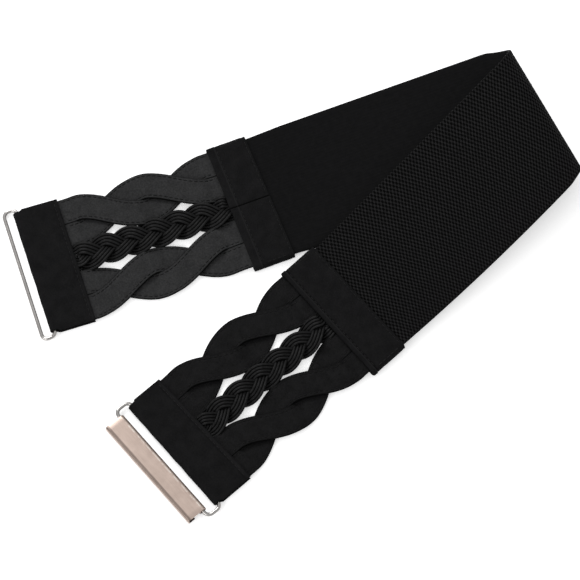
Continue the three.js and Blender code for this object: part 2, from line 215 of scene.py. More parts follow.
def smooth(value, low, high):
    """A soft step from 0 at low to 1 at high"""
    share = np.clip((value - low) / (high - low), 0, 1)
    return share * share * (3 - 2 * share)


def mix(a, b, share):
    return a + (b - a) * share


def bell(value, centre, width):
    """1 at the centre, falling off smoothly over the width"""
    return np.exp(-((value - centre) / width) ** 2)


def ripple(u, v, seed, reach):
    """A gentle uneven surface, the same on every run; reach is its coarsest repeat in mm"""
    draw = np.random.default_rng(seed)
    total = 0
    weight = 0
    for i in range(7):
        turn = draw.uniform(0, 2 * math.pi)
        phase = draw.uniform(0, 2 * math.pi)
        repeat = reach / (1 + 0.6 * i)
        size = 1 / (1 + 0.45 * i)
        place_along = u * math.cos(turn) + v * math.sin(turn)
        total = total + size * np.sin(2 * math.pi * place_along / repeat + phase)
        weight += size
    return total / weight * 1.8


def reach_along(line):
    """How far along a line each of its points is from the first one"""
    steps = np.linalg.norm(np.diff(line, axis=0), axis=1)
    return np.concatenate([[0], np.cumsum(steps)])


def look_up(at, reach, values):
    """Rows of values at the given reaches along a line"""
    return np.stack([np.interp(at, reach, column) for column in values.T], axis=1)


def arc(x, z, radius, degrees):
    """Places round a centre, each with its outward direction in degrees"""
    return [(x + radius * math.cos(radians(a)), z + radius * math.sin(radians(a)), a) for a in degrees]


def profile(line):
    """Splits places with their outward directions into x, z and the two parts of the direction"""
    line = np.array(line)
    directions = np.radians(line[:, 2])
    return line[:, 0], line[:, 1], np.cos(directions), np.sin(directions)


# Places on the belt

def bar_place(end, across=0):
    return -end["tab_length"] + END_MID - across * math.tan(radians(end["skew"]))


def on_end(end, along, across, above):
    """Places on an end: along it from the tab's mouth, across it to the near side, above its middle"""
    along, across, above = np.broadcast_arrays(along, across, above)
    radius = END_LENGTH / radians(end["bend"])
    bent = np.clip(along, 0, END_LENGTH)
    straight = along - bent
    angle = bent / radius
    x = radius * np.sin(angle) + straight * np.cos(angle) + across * np.sin(angle)
    y = radius * (1 - np.cos(angle)) + straight * np.sin(angle) - across * np.cos(angle)
    share = np.maximum(along - RISE_START, 0) / (END_LENGTH - RISE_START)
    z = END_MID + end["rise"] * share**2 + above
    turn = radians(end["heading"])
    return np.stack([
        end["x"] + x * math.cos(turn) - y * math.sin(turn),
        end["y"] + x * math.sin(turn) + y * math.cos(turn),
        z,
    ], axis=-1)


def on_tab(end, x, across, z):
    """Places on the straight part of an end, measured as on_end does"""
    x, across, z = np.broadcast_arrays(x, across, z)
    turn = radians(end["heading"])
    return np.stack([
        end["x"] + x * math.cos(turn) + across * math.sin(turn),
        end["y"] + x * math.sin(turn) - across * math.cos(turn),
        END_MID + z,
    ], axis=-1)


def on_bar(end, x, y, z):
    """Places measured from the middle of the ring's inner bar, x away from it and y along it"""
    turn = -radians(end["skew"])
    far = x * math.sin(turn) + y * math.cos(turn)
    out = x * math.cos(turn) - y * math.sin(turn)
    return on_tab(end, bar_place(end) + out, -far, z)


def layout_shift():
    """From the layout's own frame to the part's, in metres, by the left ring's hinge"""
    hinge = next(joint for joint in frame["joints"] if joint["name"] == "left_ring_hinge")
    return np.array(hinge["pos_m"]) - on_tab(LEFT, bar_place(LEFT), 0, 0) * MM


SHIFT = layout_shift()


# Making meshes

def make_mesh(name, points, faces, materials, face_materials=None, fields=None):
    mesh = bpy.data.meshes.new(name)
    mesh.from_pydata((np.asarray(points) * MM + SHIFT).tolist(), [], faces)
    for material in materials:
        mesh.materials.append(material)
    if face_materials is not None:
        mesh.polygons.foreach_set("material_index", np.asarray(face_materials, np.int32))
    for key, values in (fields or {}).items():
        layer = mesh.attributes.new(key, "FLOAT", "POINT")
        layer.data.foreach_set("value", np.asarray(values, np.float32).ravel())
    mesh.shade_smooth()
    mesh.validate()
    thing = bpy.data.objects.new(name, mesh)
    bpy.context.scene.collection.objects.link(thing)
    return thing


def loop_faces(rows, count, closed=False):
    """Quads between rows of points, each row a loop, with a cap at both ends unless the rows close too"""
    faces = []
    for i in range(rows if closed else rows - 1):
        here = i * count
        after = ((i + 1) % rows) * count
        for j in range(count):
            k = (j + 1) % count
            faces.append((here + j, after + j, after + k, here + k))
    if not closed:
        faces.append(tuple(range(count)))
        faces.append(tuple(reversed(range((rows - 1) * count, rows * count))))
    return faces


def outward(points, faces):
    """The faces of a body, turned so that they look out of it, as its signed volume tells"""
    quads = np.array([face for face in faces if len(face) == 4])
    a, b, c, d = (points[quads[:, k]] for k in range(4))
    volume = np.sum(a * np.cross(b, c)) + np.sum(a * np.cross(c, d))
    if volume < 0:
        return [tuple(reversed(face)) for face in faces]
    return faces


def joined(bodies):
    """Several bodies, each points and faces, as one set of points and faces"""
    points = []
    faces = []
    count = 0
    for body_points, body_faces in bodies:
        points.append(body_points)
        faces += [tuple(count + k for k in face) for face in body_faces]
        count += len(body_points)
    return np.concatenate(points), faces


def loft(name, sections, materials, closed=False, loop_materials=None, fields=None):
    """One closed body from rows of points in millimetres; loop_materials picks each row's materials"""
    sections = np.asarray(sections)
    rows, count = sections.shape[:2]
    points = sections.reshape(-1, 3)
    picks = None
    if loop_materials is not None:
        picks = list(loop_materials) * (rows - 1) + [loop_materials[0]] * 2
    faces = outward(points, loop_faces(rows, count, closed))
    return make_mesh(name, points, faces, materials, picks, fields)


def slab(name, middle, normal, half, materials, raised=0, keep=None, fields=None):
    """A sheet with thickness: a grid of middle points, its normals and its half thickness.
    raised lifts the side that the normals point to. keep picks the other side's columns, and that
    side has the last of the materials"""
    columns = middle.shape[1]
    if keep is None:
        keep = list(range(columns))

    def round_the_sheet(upper, lower):
        return np.concatenate([upper, lower[:, keep][:, ::-1]], axis=1)

    upper = middle + normal * (half + raised)[..., None]
    lower = middle - normal * half[..., None]
    made = {key: round_the_sheet(grid, grid) for key, grid in (fields or {}).items()}
    picks = [0] * columns + [len(materials) - 1] * (len(keep) - 1) + [0]
    return loft(name, round_the_sheet(upper, lower), materials, loop_materials=picks, fields=made)


def flat_below(raised, normal):
    """Relief without what would stand out under a piece, where its weight presses it flat"""
    return np.where(normal[..., 2] < -0.3, np.minimum(raised, 0), raised)


def edge_share(distance, rounding=EDGE_ROUNDING):
    """How thick a sheet is near its edge, as a share of its full thickness"""
    inside = np.clip(distance / rounding, 0, 1)
    return np.maximum(np.sqrt(1 - (1 - inside) ** 2), THINNEST_EDGE)


def edged(low, high, step, rounding=EDGE_ROUNDING):
    """Stations from low to high, closer together at both edges so that they can be rounded"""
    near = rounding * np.array([0, 0.06, 0.22, 0.5])
    count = max(2, round((high - low - 2 * rounding) / step))
    inner = np.linspace(low + rounding, high - rounding, count + 1)
    return np.concatenate([low + near, inner, high - near[::-1]])


def unit(vectors):
    return vectors / np.linalg.norm(vectors, axis=-1, keepdims=True)


def tube(centre, radius, sides, out=(0.0, 0.0, 1.0)):
    """A round bar along a line, as points and faces. Each of its rings starts level, seen with out up"""
    forward = unit(np.gradient(centre, axis=0))
    side = unit(np.cross(forward, out))[:, None]
    up = np.cross(side, forward[:, None])
    angle = (2 * math.pi * np.arange(sides) / sides)[None, :, None]
    points = centre[:, None] + (side * np.cos(angle) + up * np.sin(angle)) * radius
    return points.reshape(-1, 3), loop_faces(len(centre), sides)


def stitch_row(line, side, thread_radius):
    """The stitches along a line on a sheet, on its upper side (1) or its lower one (-1)"""
    reach = reach_along(line)
    pitch = STITCH_LENGTH + STITCH_GAP
    count = int((reach[-1] - STITCH_GAP) // pitch)
    start = (reach[-1] - count * pitch + STITCH_GAP) / 2
    shares = np.array([0, 0.12, 0.35, 0.65, 0.88, 1])
    heights = STITCH_RISE * np.array([-0.3, -0.05, 1, 1, -0.05, -0.3])
    out = np.array([0.0, 0.0, side])
    for i in range(count):
        at = start + i * pitch + shares * STITCH_LENGTH
        centre = look_up(at, reach, line) + out * heights[:, None]
        yield tube(centre, thread_radius, STITCH_SIDES, out)


def stitches(name, rows, material, thread_radius=THREAD_RADIUS):
    """All the rows of stitches of one piece, as one mesh; a row is its line and its side of the sheet"""
    bodies = [body for line, side in rows for body in stitch_row(line, side, thread_radius)]
    points, faces = joined(bodies)
    return make_mesh(name, points, outward(points, faces), [material])


# Materials

def new_material(name):
    material = bpy.data.materials.new(name)
    material.use_nodes = True
    tree = material.node_tree
    tree.nodes.clear()
    output = tree.nodes.new("ShaderNodeOutputMaterial")
    shader = tree.nodes.new("ShaderNodeBsdfPrincipled")
    tree.links.new(shader.outputs["BSDF"], output.inputs["Surface"])
    return material, tree, shader


def put(tree, socket, value):
    if isinstance(value, bpy.types.NodeSocket):
        tree.links.new(value, socket)
    else:
        socket.default_value = value


def calc(tree, operation, a, b=0.0):
    node = tree.nodes.new("ShaderNodeMath")
    node.operation = operation
    put(tree, node.inputs[0], a)
    put(tree, node.inputs[1], b)
    return node.outputs[0]


def plus(tree, a, b):
    return calc(tree, "ADD", a, b)


def minus(tree, a, b):
    return calc(tree, "SUBTRACT", a, b)


def times(tree, a, b):
    return calc(tree, "MULTIPLY", a, b)


def attribute(tree, name):
    node = tree.nodes.new("ShaderNodeAttribute")
    node.attribute_name = name
    return node.outputs["Fac"]


def place(tree):
    """Object coordinates in millimetres"""
    coordinates = tree.nodes.new("ShaderNodeTexCoord")
    mapping = tree.nodes.new("ShaderNodeMapping")
    mapping.inputs["Scale"].default_value = (1000, 1000, 1000)
    tree.links.new(coordinates.outputs["Object"], mapping.inputs["Vector"])
    return mapping.outputs["Vector"]


def noise(tree, repeat, detail=3.0, roughness=0.55, vector=None):
    """Uneven pattern between 0 and 1 whose patches are about repeat millimetres wide"""
    node = tree.nodes.new("ShaderNodeTexNoise")
    node.inputs["Scale"].default_value = 1 / repeat
    node.inputs["Detail"].default_value = detail
    node.inputs["Roughness"].default_value = roughness
    tree.links.new(vector or place(tree), node.inputs["Vector"])
    return node.outputs["Fac"]


def mix_colours(tree, share, first, second):
    """A colour that goes from the first to the second, each a socket or a plain colour"""
    node = tree.nodes.new("ShaderNodeMix")
    node.data_type = "RGBA"
    put(tree, node.inputs["Factor"], share)
    for socket, colour in ((node.inputs["A"], first), (node.inputs["B"], second)):
        put(tree, socket, (*colour, 1) if isinstance(colour, tuple) else colour)
    return node.outputs["Result"]


def stretch(tree, value, low, high, out_low=0.0, out_high=1.0):
    node = tree.nodes.new("ShaderNodeMapRange")
    node.interpolation_type = "SMOOTHSTEP"
    put(tree, node.inputs["Value"], value)
    node.inputs["From Min"].default_value = low
    node.inputs["From Max"].default_value = high
    node.inputs["To Min"].default_value = out_low
    node.inputs["To Max"].default_value = out_high
    return node.outputs["Result"]


def bump(tree, shader, height, depth, strength):
    node = tree.nodes.new("ShaderNodeBump")
    node.inputs["Strength"].default_value = strength
    node.inputs["Distance"].default_value = depth * MM
    tree.links.new(height, node.inputs["Height"])
    tree.links.new(node.outputs["Normal"], shader.inputs["Normal"])


def surface(tree, shader, colour, roughness, specular=0.5, metallic=0):
    put(tree, shader.inputs["Base Color"], colour)
    put(tree, shader.inputs["Roughness"], roughness)
    shader.inputs["Specular IOR Level"].default_value = specular
    shader.inputs["Metallic"].default_value = metallic


def wave(tree, value, repeat):
    """A cosine that repeats at this step of the value"""
    return calc(tree, "COSINE", times(tree, value, 2 * math.pi / repeat))


def halfway(tree, a, b):
    return times(tree, plus(tree, a, b), 0.5)


def elastic_front():
    """Open knit over the woven band: pits in a diagonal lattice between raised threads, made dark with
    painted shade
    """
    material, tree, shader = new_material("elastic_front")
    along = attribute(tree, "along")
    across = attribute(tree, "across")
    wander = times(tree, minus(tree, noise(tree, 7.0, 2.0), 0.5), 0.5)
    u = calc(tree, "DIVIDE", plus(tree, along, wander), WEAVE_ALONG)
    v = calc(tree, "DIVIDE", across, WEAVE_ACROSS)
    lattice = halfway(tree, wave(tree, plus(tree, u, v), 1), wave(tree, minus(tree, u, v), 1))
    pit = stretch(tree, lattice, -0.35, 0.35)
    one = wave(tree, plus(tree, along, across), 0.42)
    other = wave(tree, minus(tree, along, across), 0.46)
    threads = plus(tree, one, other)
    tone = plus(tree, times(tree, threads, 0.1), noise(tree, 1.1, 2.0))
    # Painted shade in the pits; between them the threads keep their own uneven tone
    lit = times(tree, minus(tree, 1.0, pit), stretch(tree, tone, 0.1, 0.9, 0.35, 1.0))
    colour = mix_colours(tree, lit, (0.0004, 0.0004, 0.0004), (0.0185, 0.0182, 0.0188))
    surface(tree, shader, colour, 0.7, 0.04)
    bump(tree, shader, minus(tree, times(tree, threads, 0.12), pit), 0.22, 0.9)
    return material


def elastic_back():
    """The band's smooth side: fine lengthwise ribs"""
    material, tree, shader = new_material("elastic_back")
    ribs = wave(tree, attribute(tree, "across"), WEAVE_ACROSS / 2)
    weft = wave(tree, attribute(tree, "along"), 0.55)
    lift = plus(tree, times(tree, ribs, 0.5), times(tree, weft, 0.22))
    tone = plus(tree, times(tree, lift, 0.12), noise(tree, 2.5, 3.0))
    light = stretch(tree, tone, 0.1, 0.95)
    colour = mix_colours(tree, light, (0.0034, 0.0034, 0.0036), (0.0058, 0.0057, 0.006))
    surface(tree, shader, colour, 0.85, 0.06)
    bump(tree, shader, lift, 0.07, 0.6)
    return material


def suede():
    """Suede-like cloth with a short nap in soft patches, with a painted highlight along the crests of its
    welts and painted shade in the grooves beside them
    """
    material, tree, shader = new_material("suede")
    patches = noise(tree, 6.0, 4.0)
    nap = noise(tree, 0.7, 4.0, 0.7)
    tone = plus(tree, times(tree, patches, 0.4), times(tree, nap, 0.6))
    light = stretch(tree, tone, 0.3, 0.75)
    cloth_tone = mix_colours(tree, light, (0.0042, 0.0042, 0.0044), (0.0104, 0.0102, 0.0106))
    # Painted highlight along the welts' crests
    wear_and_highlight = mix_colours(tree, attribute(tree, "wear_and_highlight"), cloth_tone, (0.022, 0.0218, 0.0222))
    # Painted shade in the grooves beside the welts
    shaded = mix_colours(tree, attribute(tree, "dark"), wear_and_highlight, (0.0008, 0.0008, 0.0008))
    surface(tree, shader, shaded, 0.95, 0.05)
    shader.inputs["Sheen Weight"].default_value = 0.01
    bump(tree, shader, plus(tree, nap, times(tree, patches, 0.7)), 0.22, 0.6)
    return material


def edge_dye_and_shade(tree):
    """How close a place on a strap is to its cut edges, which are darker: partly their dye, partly
    painted shade along the edges
    """
    away = calc(tree, "ABSOLUTE", attribute(tree, "across"))
    return stretch(tree, away, STRAP_WIDTH / 2 - 0.8, STRAP_WIDTH / 2 - 0.1, 0.0, 0.85)


def strap_face():
    """Smooth side of the straps: fine leather grain with a dull shine"""
    material, tree, shader = new_material("strap_face")
    cells = tree.nodes.new("ShaderNodeTexVoronoi")
    cells.feature = "DISTANCE_TO_EDGE"
    cells.inputs["Scale"].default_value = 1 / 0.8
    tree.links.new(place(tree), cells.inputs["Vector"])
    creases = stretch(tree, cells.outputs["Distance"], 0.0, 0.16)
    patches = noise(tree, 5.0, 3.0)
    mottle = noise(tree, 1.3, 3.0, 0.7)
    tone = plus(tree, times(tree, creases, 0.25), halfway(tree, patches, mottle))
    light = stretch(tree, tone, 0.35, 0.95)
    grained = mix_colours(tree, light, (0.0018, 0.0018, 0.0019), (0.0092, 0.009, 0.0094))
    # Darker along the cut edges: partly dye, partly painted shade
    colour = mix_colours(tree, edge_dye_and_shade(tree), grained, EDGE_DYE_AND_SHADE_COLOUR)
    surface(tree, shader, colour, stretch(tree, mottle, 0.3, 0.7, 0.48, 0.66), 0.05)
    bump(tree, shader, plus(tree, creases, times(tree, patches, 1.2)), 0.07, 0.6)
    return material


def strap_back():
    """Cloth side of the straps: dark grey, with the fine weave of a backing"""
    material, tree, shader = new_material("strap_back")
    warp = wave(tree, attribute(tree, "along"), 0.5)
    weft = wave(tree, attribute(tree, "across"), 0.5)
    weave = plus(tree, warp, weft)
    fuzz = noise(tree, 0.9, 4.0, 0.7)
    uneven = plus(tree, times(tree, fuzz, 0.75), times(tree, noise(tree, 6.0, 3.0), 0.25))
    light = stretch(tree, plus(tree, times(tree, weave, 0.06), uneven), 0.3, 0.75)
    woven = mix_colours(tree, light, (0.0145, 0.0146, 0.0149), (0.0355, 0.0356, 0.0362))
    # Darker along the cut edges: partly dye, partly painted shade
    surface(tree, shader, mix_colours(tree, edge_dye_and_shade(tree), woven, EDGE_DYE_AND_SHADE_COLOUR), 0.92, 0.06)
    bump(tree, shader, plus(tree, times(tree, weave, 0.3), fuzz), 0.08, 0.6)
    return material


def cord_material():
    """Round cord with a fine braided cover, dark low down between the cords: painted shade over the lower
    part of each cord
    """
    material, tree, shader = new_material("cord")
    along = attribute(tree, "along")
    around = attribute(tree, "around")
    one = wave(tree, plus(tree, along, around), 0.62)
    other = wave(tree, minus(tree, along, around), 0.62)
    cover = calc(tree, "MAXIMUM", one, other)
    tone = plus(tree, times(tree, cover, 0.2), noise(tree, 1.6, 3.0))
    # Painted shade: each cord darkens from its upper side to its lower side
    tone = times(tree, tone, stretch(tree, attribute(tree, "crest"), 0.1, 0.9))
    light = stretch(tree, tone, 0.2, 0.95)
    colour = mix_colours(tree, light, (0.001, 0.001, 0.001), (0.0125, 0.0123, 0.0128))
    surface(tree, shader, colour, 0.5, 0.12)
    bump(tree, shader, cover, 0.05, 0.5)
    return material


def thread_material(name, dark, light):
    material, tree, shader = new_material(name)
    surface(tree, shader, mix_colours(tree, noise(tree, 0.6, 2.0), dark, light), 0.5, 0.12)
    bump(tree, shader, noise(tree, 0.25, 2.0), 0.04, 0.5)
    return material


def nickel():
    """Polished plated wire with faint rubbed patches"""
    material, tree, shader = new_material("nickel")
    wear_and_highlight = noise(tree, 4.0, 4.0, 0.65)
    colour = mix_colours(tree, wear_and_highlight, (0.36, 0.345, 0.335), (0.5, 0.485, 0.47))
    surface(tree, shader, colour, stretch(tree, wear_and_highlight, 0.3, 0.75, 0.12, 0.24), metallic=1)
    bump(tree, shader, noise(tree, 0.5, 3.0), 0.01, 0.3)
    return material


def satin_metal():
    """Satin plate, brushed lengthwise with fine worn lines, with a painted highlight along its roll and
    painted shade round the roll's underside, under the hook and along the turned edge
    """
    material, tree, shader = new_material("satin_metal")
    vector = place(tree)
    vector.node.inputs["Rotation"].default_value = (0, 0, -radians(RIGHT["heading"] - RIGHT["skew"]))
    stretched = tree.nodes.new("ShaderNodeVectorMath")
    stretched.operation = "MULTIPLY"
    stretched.inputs[1].default_value = (6.0, 0.12, 6.0)
    tree.links.new(vector, stretched.inputs[0])
    lines = noise(tree, 1.0, 4.0, 0.6, stretched.outputs[0])
    tone = halfway(tree, lines, noise(tree, 9.0, 3.0))
    light = stretch(tree, tone, 0.3, 0.7)
    plating = mix_colours(tree, light, (0.46, 0.362, 0.312), (0.565, 0.455, 0.398))
    # A painted highlight along the top of the roll, broken up by noise
    highlight_share = times(tree, attribute(tree, "wear_and_highlight"), stretch(tree, noise(tree, 2.0, 3.0), 0.35, 0.6))
    highlighted = mix_colours(tree, highlight_share, plating, (0.74, 0.67, 0.61))
    # Painted shade round the roll's underside, under the hook and along the turned edge
    shaded = mix_colours(tree, attribute(tree, "dark"), highlighted, (0.03, 0.02, 0.016))
    surface(tree, shader, shaded, stretch(tree, tone, 0.3, 0.7, 0.36, 0.46), metallic=1)
    bump(tree, shader, lines, 0.012, 0.5)
    return material


def floor_material():
    material, tree, shader = new_material("floor")
    colour = mix_colours(tree, noise(tree, 60.0), (0.9, 0.9, 0.9), (0.92, 0.92, 0.92))
    surface(tree, shader, colour, 0.9, 0.1)
    shader.inputs["Emission Color"].default_value = (1, 1, 1, 1)
    shader.inputs["Emission Strength"].default_value = 0.45
    return material


# Pieces

def finish_piece(piece, body, slot, *nodes):
    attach(piece, body)
    if nodes:
        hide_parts(*nodes)


def freedom(along):
    """How free a place is of the tab and the sleeve, which hold the straps and the braid side by side"""
    return smooth(np.minimum(along, SECTION_LENGTH - along), 0, HELD_LENGTH)


def strap_path(pair, side, starts_outer):
    """Where a strap runs: across the end, above its middle, for places along it"""
    on_top_first = (pair["over"] == "outer") == starts_outer
    begin = FIRST_CROSSING + pair["shift"] - CROSSING_STEP / 2
    end = begin + 2 * CROSSING_STEP

    def path(along):
        phase = math.pi * (np.clip(along, begin, end) - begin) / CROSSING_STEP
        held = np.where(along < SECTION_LENGTH / 2, HELD_CENTRE, pair["sleeve_centre"])
        centre = mix(held, pair["centre"], freedom(along))
        swing = STRAP_SWING * np.cos(phase)
        over = np.clip(SWAP_SHARPNESS * np.sin(phase), -1, 1)
        above = (1 if on_top_first else -1) * CROSSING_LIFT * over
        return side * (centre + (swing if starts_outer else -swing)), above, np.zeros_like(above)

    return path


def ribbon(end, path, along, wide, high):
    """Places on a ribbon that follows a path: along it, to its side and above its middle"""
    along, wide, high = np.broadcast_arrays(along, wide, high)
    step = 0.05
    across, above, roll = path(along)
    ahead = path(along + step)[0]
    slope = np.arctan2(ahead - across, step)
    side = wide * np.cos(roll) - high * np.sin(roll)
    up = wide * np.sin(roll) + high * np.cos(roll)
    return on_end(end, along - side * np.sin(slope), across + side * np.cos(slope), above + up)


def straps(end, materials, thread):
    """The two twisted pairs of straps of an end, each strap with its stitches"""
    face, back = materials
    upper_side, lower_side = (face, back) if end["face_up"] else (back, face)
    along = np.linspace(-STRAP_INSERT, SECTION_LENGTH + STRAP_INSERT, STRAP_STATIONS)[:, None]
    wide = edged(-STRAP_WIDTH / 2, STRAP_WIDTH / 2, 0.62, STRAP_ROUNDING)[None, :]
    seam = STRAP_WIDTH / 2 - STRAP_STITCH_INSET
    half = STRAP_THICK / 2 * edge_share(STRAP_WIDTH / 2 - np.abs(wide), STRAP_ROUNDING)
    groove = -STRAP_GROOVE_DEPTH * bell(np.abs(wide), seam, STRAP_GROOVE_WIDTH)
    puff = STRAP_PUFF * np.clip(1 - (np.abs(wide) / seam) ** 2, 0, 1)
    shape = (half + groove + puff) * np.ones_like(along)
    grid_along, grid_wide = np.broadcast_arrays(along, wide)
    fields = {
        "along": np.concatenate([grid_along, grid_along], axis=1),
        "across": np.concatenate([grid_wide, grid_wide[:, ::-1]], axis=1),
    }
    # The edges and the three columns beside them look like the face, on both sides of the strap
    rim = [2] * 3
    inner_columns = wide.shape[1] - 1 - 2 * len(rim)
    picks = rim + [0] * inner_columns + rim + [2] + rim + [1] * inner_columns + rim + [2]
    stitched = np.linspace(1, SECTION_LENGTH - 1, 220)
    count = 0
    for pair, side in ((end["far"], -1), (end["near"], 1)):
        for starts_outer in (True, False):
            count += 1
            name = f"strap_{end['name']}_{count}"
            path = strap_path(pair, side, starts_outer)
            uneven = STRAP_WAVES * ripple(along, wide, 40 + count, STRAP_WAVE_REACH)
            upper = ribbon(end, path, along, wide, shape + uneven)
            lower = ribbon(end, path, along, wide, -shape + uneven)
            sections = np.concatenate([upper, lower[:, ::-1]], axis=1)
            piece = loft(f"fine_{name}", sections, [upper_side, lower_side, face],
                         loop_materials=picks, fields=fields)
            finish_piece(piece, "belt", "strap", name)
            rows = []
            for edge in (-1, 1):
                for above in (-1, 1):
                    height = above * (STRAP_THICK / 2 - STRAP_THREAD_SUNK)
                    rows.append((ribbon(end, path, stitched, edge * seam, height), above))
            sewing = stitches(f"stitches_{name}", rows, thread, STRAP_THREAD_RADIUS)
            finish_piece(sewing, "belt", "strap")
            run = reach_along(ribbon(end, path, along[:, 0], 0.0, 0.0))


def braid_path(end, strand):
    """Where a strand runs, given as for a strap, and how far it rolls about its own middle"""
    third = 2 * math.pi / 3

    def phase_at(along):
        return radians(end["braid_start"]) + 2 * math.pi * along / BRAID_PITCH + strand * third

    def rank(along):
        mine = math.sin(phase_at(along))
        others = [math.sin(phase_at(along) + k * third) for k in (1, 2)]
        return sum(value < mine for value in others) - 1

    first_slot = rank(BRAID_SPREAD[1]) * BRAID_SLOT
    last_slot = rank(SECTION_LENGTH - BRAID_SPREAD[1]) * BRAID_SLOT

    def path(along):
        inside = np.minimum(along, SECTION_LENGTH - along)
        spread = smooth(inside, *BRAID_SPREAD)
        height = smooth(inside, *BRAID_FLATTEN)
        slot = np.where(along < SECTION_LENGTH / 2, first_slot, last_slot)
        phase = phase_at(along)
        held = np.where(along < SECTION_LENGTH / 2, 0, end["sleeve_shift"])
        swing = mix(slot, end["braid_swing"] * np.sin(phase), spread)
        across = swing + mix(held, end["braid_centre"], freedom(along))
        above = (BRAID_RAISE - BRAID_LIFT * np.sin(2 * phase)) * height
        return across, above, -BRAID_ROLL * np.cos(phase) * spread

    return path


def braid(end, material):
    along = np.linspace(-STRAP_INSERT, SECTION_LENGTH + STRAP_INSERT, BRAID_STATIONS)
    spread = smooth(np.minimum(along, SECTION_LENGTH - along), *BRAID_SPREAD)
    step = mix(CORD_STEP_HELD, end["cord_step"], spread)
    radius = mix(CORD_RADIUS_HELD, CORD_FULLNESS * end["cord_step"], spread)[:, None, None]
    corner = np.arange(CORD_SIDES)
    around = np.minimum(corner, CORD_SIDES - corner) / CORD_SIDES * math.pi * end["cord_step"]
    # How far up round each cord a place is, for the painted shade on its lower side
    crest = np.sin(2 * math.pi * corner / CORD_SIDES)
    for strand in range(3):
        path = braid_path(end, strand)
        lines = [ribbon(end, path, along, (cord - (CORDS - 1) / 2) * step, 0.0) for cord in range(CORDS)]
        points, faces = joined([tube(line, radius, CORD_SIDES) for line in lines])
        fields = {
            "along": np.concatenate([np.repeat(reach_along(line), CORD_SIDES) for line in lines]),
            "around": np.tile(around, len(along) * CORDS),
            "crest": np.tile(crest, len(along) * CORDS),
        }
        node = f"braid_{end['name']}_{strand + 1}"
        piece = make_mesh(f"fine_{node}", points, outward(points, faces), [material], fields=fields)
        finish_piece(piece, "belt", "cord", node)


def sleeve_line():
    """Middle line of the sleeve's cloth round the elastic, from one side of the seam to the other"""
    inner = ELASTIC_THICK / 2 + CLEAR
    bend = inner + SUEDE_THICK / 2
    half = SLEEVE_WIDTH / 2 - SUEDE_THICK - inner
    ends = edged(SLEEVE_SEAM / 2, half, 1.5)
    turn = np.linspace(90, -90, 9)[1:]
    line = [(x, bend, 90.0) for x in ends]
    line += arc(half, 0, bend, turn)
    line += [(x, -bend, -90.0) for x in np.linspace(half, -half, 51)[1:]]
    line += arc(-half, 0, bend, 180 + turn)
    return profile(line + [(-x, bend, 90.0) for x in ends[::-1][1:]])


def sleeve(end, material, thread):
    across, height, out_across, out_height = (values[:, None] for values in sleeve_line())
    flip = -1 if end["face_up"] else 1
    slant = math.tan(radians(end["sleeve_skew"]))
    hem_width = end["hem_width"]
    stations = edged(SECTION_LENGTH, END_LENGTH, 0.34)[None, :]
    run = reach_along(np.hstack([across, height]))
    distance_strap = stations - SECTION_LENGTH
    distance_end = np.minimum(distance_strap, END_LENGTH - stations)
    distance_seam = np.minimum(run, run[-1] - run)[:, None]
    along = stations - slant * across
    middle = on_end(end, along, across, flip * height)
    normal = unit(on_end(end, along, across + out_across, flip * (height + out_height)) - middle)
    half = SUEDE_THICK / 2 * edge_share(distance_end) * edge_share(distance_seam)
    hem = end["hem_height"] * (1 - smooth(distance_strap, hem_width - 0.2, hem_width + 0.3))
    hem = hem - HEM_GROOVE_DEPTH * bell(distance_strap, hem_width + 0.55, HEM_GROOVE_WIDTH)
    groove = -SLEEVE_GROOVE_DEPTH * bell(distance_end, STITCH_INSET, SLEEVE_GROOVE_WIDTH)
    groove = groove * (distance_strap > hem_width)
    soft = SLEEVE_WAVES * ripple(run[:, None], stations, end["sleeve_seed"], SLEEVE_WAVE_REACH)
    fade = smooth(distance_end, 0.2, 2) * smooth(distance_seam, 0.2, 2)
    raised = flat_below(hem + groove + soft * fade, normal)
    # Painted highlight along the hem's edge and painted shade in the groove beside it, the shade deeper
    # for a higher hem
    wear_and_highlight = 0.35 * bell(distance_strap, hem_width - 0.35, 0.4)
    dark = min(0.8, 2.5 * end["hem_height"]) * bell(distance_strap, hem_width + 0.45, 0.4)
    fields = {"wear_and_highlight": np.tile(wear_and_highlight, (len(run), 1)), "dark": np.tile(dark, (len(run), 1))}
    name = f"sleeve_{end['name']}"
    piece = slab(f"fine_{name}", middle, normal, half, [material], raised=raised, fields=fields)
    finish_piece(piece, "belt", "suede", name)

    outer = ELASTIC_THICK / 2 + CLEAR + SUEDE_THICK - SLEEVE_THREAD_SUNK
    reach = SLEEVE_WIDTH / 2 - STITCH_INSET - 0.6
    beside_hem = SECTION_LENGTH + hem_width + 0.5
    lengthwise = np.linspace(beside_hem + 0.5, END_LENGTH - STITCH_INSET - 0.6, 60)
    rows = []
    for side in (-1, 1):
        has_seam = side * flip > 0
        spans = ((-reach, -1), (1, reach)) if has_seam else ((-reach, reach),)
        for place_along in (beside_hem, END_LENGTH - STITCH_INSET):
            for low, high in spans:
                crosswise = np.linspace(low, high, 120)
                rows.append((on_end(end, place_along - slant * crosswise, crosswise, side * outer), side))
        for edge in (-reach, reach):
            rows.append((on_end(end, lengthwise - slant * edge, edge, side * outer), side))
    sewing = stitches(f"stitches_{name}", rows, thread)
    finish_piece(sewing, "belt", "suede")


def tab_line(end, across):
    """Middle line of the tab's cloth at a place across it, from its upper lip round to its lower lip"""
    hold = WIRE / 2 + CLEAR
    mouth = STRAP_THICK / 2 + CLEAR
    reach = -bar_place(end, across)
    lean = math.degrees(math.atan2(hold - mouth, reach))
    radius = hold + SUEDE_THICK / 2
    shares = edged(0, 1, 0.035, EDGE_ROUNDING / reach)[:-3]
    top = [(-f * reach, mouth + SUEDE_THICK / 2 + f * (hold - mouth), 90 - lean) for f in shares]
    top.append((-reach, radius, 90.0))
    low = [(x, -z, -a) for x, z, a in reversed(top)]
    return profile(top + arc(-reach, 0, radius, np.linspace(90, 270, 17)[1:-1]) + low)


